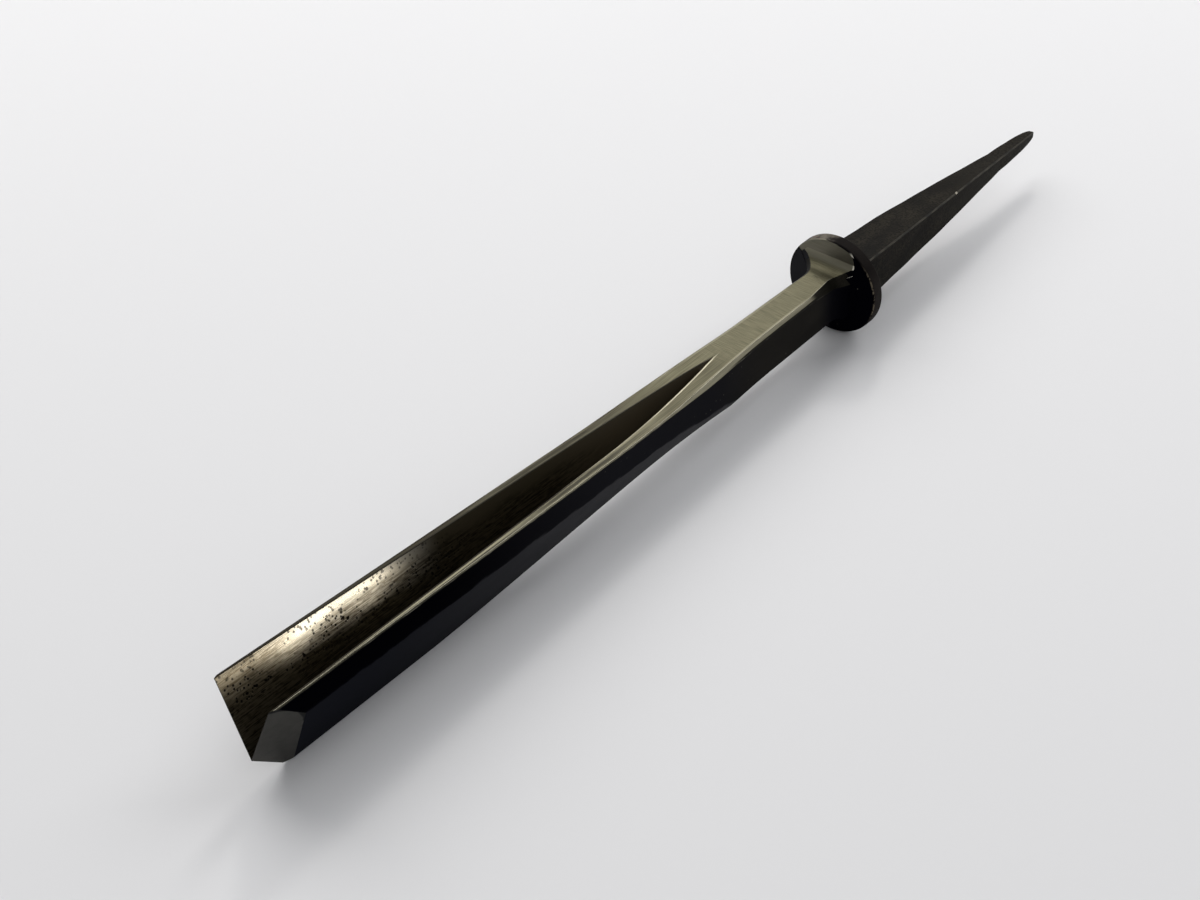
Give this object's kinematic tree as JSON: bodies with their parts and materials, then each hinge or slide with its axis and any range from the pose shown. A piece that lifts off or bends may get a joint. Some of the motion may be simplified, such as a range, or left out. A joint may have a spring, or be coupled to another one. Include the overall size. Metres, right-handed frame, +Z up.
{
  "type": "carving chisel",
  "caption": "V parting chisel for wood carving, without handle: V-grooved blade on a square shank, round bolster and square tapering tang.",
  "frame": {"origin": "centre of the bolster's back face, where a handle's end seats", "axes": "+X along the tool towards the cutting edge, +Z up out of the open groove, +Y to the left of someone who holds the tool with the edge pointing away"},
  "size_m": [0.1625, 0.0142, 0.0153],
  "materials": {
    "blade_steel": "ground satin steel on the top faces, blue-black heat scale on the flanks",
    "bolster_steel": "dark forging scale with a worn bright front rim",
    "tang_iron": "brown-black forging scale, slightly worn along the corners"
  },
  "bodies": {
    "root": {"blade": "blade_steel", "bolster": "bolster_steel", "tang": "tang_iron"}
  },
  "joints": []
}
